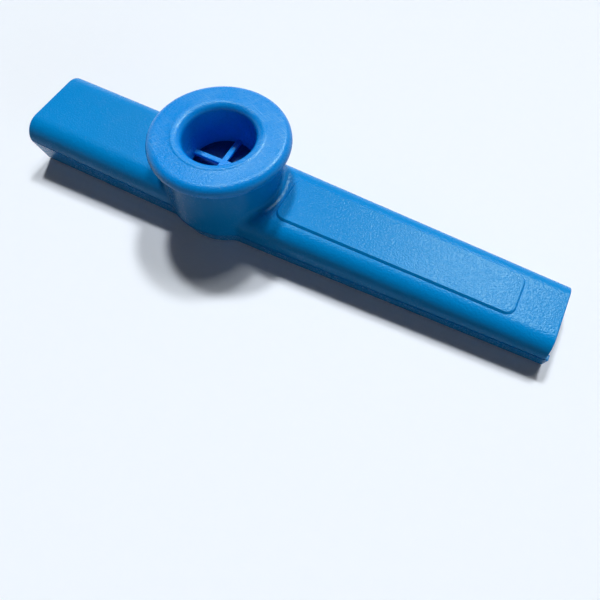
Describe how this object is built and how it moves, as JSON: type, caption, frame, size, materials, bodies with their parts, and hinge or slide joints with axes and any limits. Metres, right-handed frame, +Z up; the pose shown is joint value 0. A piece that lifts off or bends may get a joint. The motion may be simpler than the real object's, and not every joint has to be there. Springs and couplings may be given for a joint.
{
  "type": "kazoo",
  "caption": "Moulded plastic kazoo: tapering round-edged hollow body with open ends, round turret with a push-in cap, guard cross and clear buzzing film.",
  "frame": {"origin": "middle of the overall box on the underside that the kazoo lies on", "axes": "+X along the body to the long end, +Z up along the turret's axis, +Y to the left when looking along +X"},
  "size_m": [0.1208, 0.0294, 0.0216],
  "materials": {
    "shell_plastic": "blue polystyrene with a fine spark-eroded grain",
    "cap_plastic": "blue polystyrene, satin",
    "ring_plastic": "blue polystyrene, satin",
    "film": "thin clear film, glossy"
  },
  "bodies": {
    "body": {"upper_shell": "shell_plastic", "lower_shell": "shell_plastic"},
    "cap": {"turret_cap": "cap_plastic"},
    "membrane": {"membrane_ring": "ring_plastic", "membrane_film": "film"}
  },
  "joints": [
    {"name": "cap_lift", "type": "slide", "parent": "body", "child": "cap", "axis": [0, 0, 1], "range_m": [0, 0.03]},
    {"name": "membrane_lift", "type": "slide", "parent": "body", "child": "membrane", "axis": [0, 0, 1], "range_m": [0, 0.015]}
  ],
  "couplings": [
    {"joint": "membrane_lift", "follows": "cap_lift", "ratio": 0.5}
  ]
}
